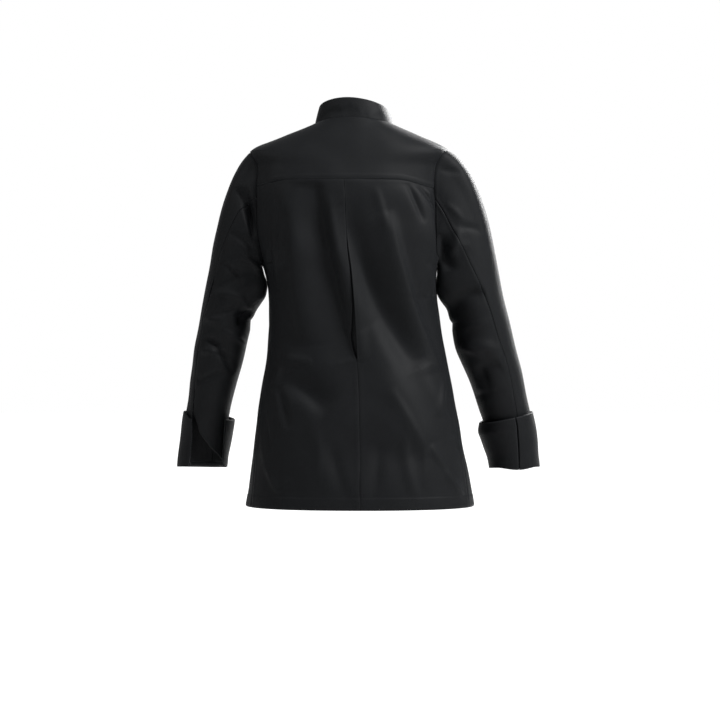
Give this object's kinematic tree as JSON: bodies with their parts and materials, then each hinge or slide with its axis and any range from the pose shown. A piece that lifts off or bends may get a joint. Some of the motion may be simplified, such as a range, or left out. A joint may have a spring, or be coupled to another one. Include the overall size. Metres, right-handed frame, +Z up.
{
  "type": "chef jacket",
  "caption": "Long-sleeved black chef jacket with band collar, back yoke, centre back pleat, double-breasted front and turned-back cuffs, filled out with no wearer.",
  "frame": {"origin": "centre of the neck seam, where the wearer's neck and shoulders hold the jacket", "axes": "+Z up, the front of the jacket faces -Y, and +X is the wearer's left"},
  "size_m": [0.6648, 0.2805, 0.7277],
  "materials": {
    "twill": "matt black cotton twill with a soft sheen",
    "buttons": "black moulded plastic, satin"
  },
  "bodies": {
    "root": {"back_yoke": "twill", "back_left": "twill", "back_right": "twill", "back_pleat": "twill", "front_left": "twill", "front_right": "twill", "collar": "twill", "sleeve_left_upper": "twill", "sleeve_left_under": "twill", "sleeve_right_upper": "twill", "sleeve_right_under": "twill", "cuff_left": "twill", "cuff_right": "twill", "button_left_1": "buttons", "button_left_2": "buttons", "button_left_3": "buttons", "button_left_4": "buttons", "button_left_5": "buttons", "button_right_1": "buttons", "button_right_2": "buttons", "button_right_3": "buttons", "button_right_4": "buttons", "button_right_5": "buttons"}
  },
  "joints": []
}
